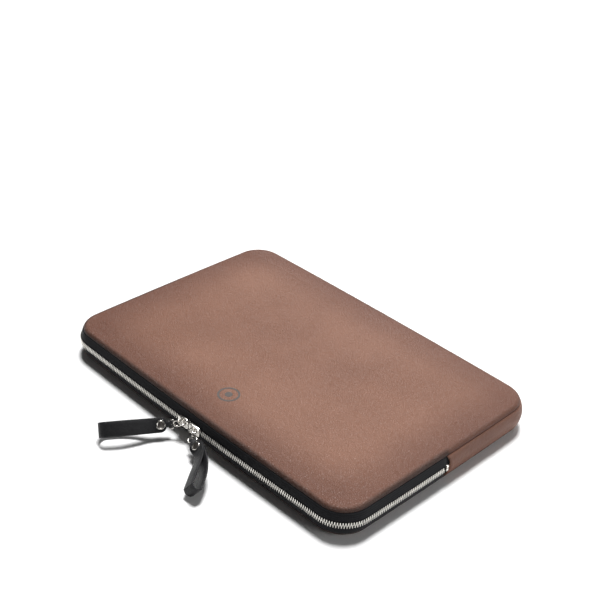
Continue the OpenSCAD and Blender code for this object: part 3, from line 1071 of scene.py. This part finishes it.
def spline(points, per_span):
    """Closed Catmull-Rom curve through points."""
    points = [np.array(p, float) for p in points]
    count = len(points)
    curve = []
    for i in range(count):
        p0, p1, p2, p3 = (points[(i + k) % count] for k in (-1, 0, 1, 2))
        for t in np.linspace(0, 1, per_span, endpoint=False):
            square = (2 * p0 - 5 * p1 + 4 * p2 - p3) * t**2
            cube = (3 * p1 - p0 - 3 * p2 + p3) * t**3
            curve.append((2 * p1 + (p2 - p0) * t + square + cube) / 2)
    return curve


def half_width(u):
    """Half of the band's width: a tongue at the link, round shoulders, then full width."""
    t = min(1, max(0, (u - 2.2) / 5.0))
    return 2.2 + (STRAP_W / 2 - 2.2) * math.sqrt(1 - (1 - t) ** 2)


def strap_section(w):
    """Cross-section of the band as (across, through), w on each side, with round edges."""
    t = STRAP_T / 2
    right = [(w - 0.35, -t), (w - 0.1, -t * 0.72), (w, 0), (w - 0.1, t * 0.72), (w - 0.35, t)]
    face = [(w * 0.5, t), (0, t), (-w * 0.5, t)]
    left = [(-w + 0.35, t), (-w + 0.1, t * 0.72), (-w, 0), (-w + 0.1, -t * 0.72)]
    return [(-w + 0.35, -t)] + right + face + left


def make_strap(pull):
    """The folded leather band, bent along the pull's middle line."""
    curve = spline(strap_path(pull.opening), 5)
    count = len(curve)
    vertices = []
    uvs = []
    travelled = 0.0
    for i, p in enumerate(curve):
        ahead = curve[(i + 1) % count] - curve[i - 1]
        ahead /= np.linalg.norm(ahead)
        out = np.array([-ahead[1], ahead[0]])
        section = strap_section(half_width(p[0]))
        place = pull.at(p[0])
        for z, d in section:
            u, v = out * d
            vertices.append(place @ Vector((u, p[1] + v, z)))
            uvs.append((travelled * MM, z * MM))
        travelled += float(np.linalg.norm(curve[(i + 1) % count] - p))
    faces = ring_faces(count, len(section), closed=True)
    strap = new_object(f"{pull.name}_pull_strap", vertices, faces, BLACK, uvs)
    strap.data.transform(pull.strap)
    piece(strap, f"{pull.name}_pull", "black_leather", f"{pull.name}_strap")


def lathe(name, profile, material, sides=40):
    """Profile of (radius, height) points turned about z."""
    vertices = []
    for r, h in profile:
        for k in range(sides):
            a = 2 * math.pi * k / sides
            vertices.append((r * math.cos(a), r * math.sin(a), h))
    return new_object(name, vertices, capped_faces(len(profile), sides), material)


def make_rivet(pull, name, node, up):
    """Rivet cap with a rolled rim and a dished face in darker painted shade, on one face of the strap."""
    r = RIVET_D / 2
    rim = [(r - 0.5, 0.0), (r - 0.12, 0.12), (r, 0.4), (r - 0.12, 0.72), (r - 0.45, 0.9), (r - 0.8, 0.85)]
    dish = [(r - 1.05, 0.66), (r - 1.25, 0.6), (r * 0.4, 0.68), (0.3, 0.7)]
    cap = lathe(name, [(1.4, 0.0)] + rim + dish, NICKEL)
    cap.data.materials.append(RIVET_FACE_PAINTED_SHADE)
    for face in cap.data.polygons:
        # The dished face takes the darker material: painted shade.
        inside = math.hypot(face.center.x, face.center.y) < (r - 1.1) * MM
        face.material_index = 1 if inside and face.center.z > 0.5 * MM else 0
    lift = Matrix.Translation((0, 0, STRAP_T * MM))
    cap.data.transform(metres(pull.at(RIVET_U)) @ rotation(pull.side * up * 90, "X") @ lift)
    cap.data.transform(pull.strap)
    piece(cap, f"{pull.name}_pull", "nickel", node)


def metres(matrix):
    """The same placement with its translation turned from millimetres to metres."""
    placed = matrix.copy()
    placed.translation = matrix.translation * MM
    return placed


def make_pulls():
    """Both sliders with their links, straps and rivets."""
    for pull in PULLS:
        make_slider(f"{pull.name}_zip_slider", pull.side, f"{pull.name}_slider")
        make_link(pull)
        make_strap(pull)
        make_rivet(pull, f"{pull.name}_rivet_front", f"{pull.name}_rivet_cap", 1)
        make_rivet(pull, f"{pull.name}_rivet_back", f"{pull.name}_rivet_stem", -1)


# ---- stamped mark ------------------------------------------------------------------


def make_mark():
    """Plain stamped ring with a dot: a generic mark near the front edge."""
    middle_x, middle_y = 3.5, -77.0
    sides = 72
    foil = polished_metal("mark_foil", (0.075, 0.066, 0.062), 0.5, 0.02)
    parts = []
    for inner, outer in ((7.4, 9.2), (0.0, 3.2)):
        radii = np.linspace(inner, outer, 4)
        vertices = []
        for r in radii:
            for x, y in arc(middle_x, middle_y, r, 0, 360, sides + 1)[:-1]:
                vertices.append((x, y, TOP_Z + crown(x, y) + 0.04))
        parts.append(new_object("mark", vertices, ring_faces(len(radii), sides), foil))
    piece(join("stamped_mark", parts), "flap", "nickel")


# ---- studio ------------------------------------------------------------------------


def make_camera():
    """The photograph's view: bearing, height and roll of the camera round its target."""
    azimuth, elevation, roll = math.radians(43.93), math.radians(31.94), math.radians(3.53)
    target = Vector((-77.38, 81.19, MID_Z)) * MM
    distance = 1.074
    level = math.cos(elevation)
    back = Vector((math.sin(azimuth) * level, -math.cos(azimuth) * level, math.sin(elevation)))
    right = back.cross(Vector((0, 0, 1))).normalized() * -1
    up = back.cross(right)
    tilted_right = right * math.cos(roll) + up * math.sin(roll)
    tilted_up = up * math.cos(roll) - right * math.sin(roll)
    camera = bpy.data.objects.new("camera", bpy.data.cameras.new("camera"))
    camera.data.lens = 70.16
    camera.data.sensor_width = 36
    camera.data.clip_end = 50
    axes = Matrix((tilted_right, tilted_up, back)).transposed().to_4x4()
    camera.matrix_world = Matrix.Translation(target + back * distance) @ axes
    bpy.context.scene.collection.objects.link(camera)
    bpy.context.scene.camera = camera


def area_light(name, place, size, power):
    """Softbox that faces the sleeve. place and size are in metres, power in watts."""
    light = bpy.data.lights.new(name, "AREA")
    light.shape = "RECTANGLE"
    light.size, light.size_y = size
    light.energy = power
    obj = bpy.data.objects.new(name, light)
    obj.location = place
    obj.rotation_euler = (-Vector(place)).to_track_quat("-Z", "Y").to_euler()
    bpy.context.scene.collection.objects.link(obj)


def overhead_sun(direction, spread, strength):
    """Soft light from a direction. spread is its angle in degrees."""
    light = bpy.data.lights.new("overhead", "SUN")
    light.angle = math.radians(spread)
    light.energy = strength
    obj = bpy.data.objects.new("overhead", light)
    obj.rotation_euler = Vector(direction).to_track_quat("Z", "Y").to_euler()
    bpy.context.scene.collection.objects.link(obj)


def make_backdrop():
    """White behind the floor's far edge, with only a faint glow of its own on the object."""
    world = bpy.data.worlds.new("studio")
    bpy.context.scene.world = world
    world.use_nodes = True
    tree = world.node_tree
    seen = tree.nodes.new("ShaderNodeLightPath")
    strength = tree.nodes.new("ShaderNodeMapRange")
    strength.inputs["To Min"].default_value = 0.06
    strength.inputs["To Max"].default_value = 1.0
    tree.links.new(seen.outputs["Is Camera Ray"], strength.inputs["Value"])
    background = tree.nodes["Background"]
    background.inputs["Color"].default_value = (1, 1, 1, 1)
    tree.links.new(strength.outputs["Result"], background.inputs["Strength"])


def make_studio():
    """White floor and backdrop, a soft light from above and two softboxes."""
    bpy.context.scene.view_settings.view_transform = "Standard"
    make_backdrop()
    overhead_sun((-0.28, 0.32, 1.0), 18, 4.2)
    area_light("back_softbox", (-0.38, 0.78, 0.46), (0.8, 0.5), 2.9)
    area_light("right_fill", (1.5, 0.45, 0.5), (1.0, 0.7), 8)
    bpy.ops.mesh.primitive_plane_add(size=FLOOR_SIZE_M, location=(0, 0, -FLOOR_DROP * MM))
    floor = bpy.context.active_object
    floor.name = "floor"
    floor.data.materials.append(floor_material())


make_camera()
make_panels()
make_gusset()
make_zip()
make_pulls()
make_mark()
make_studio()
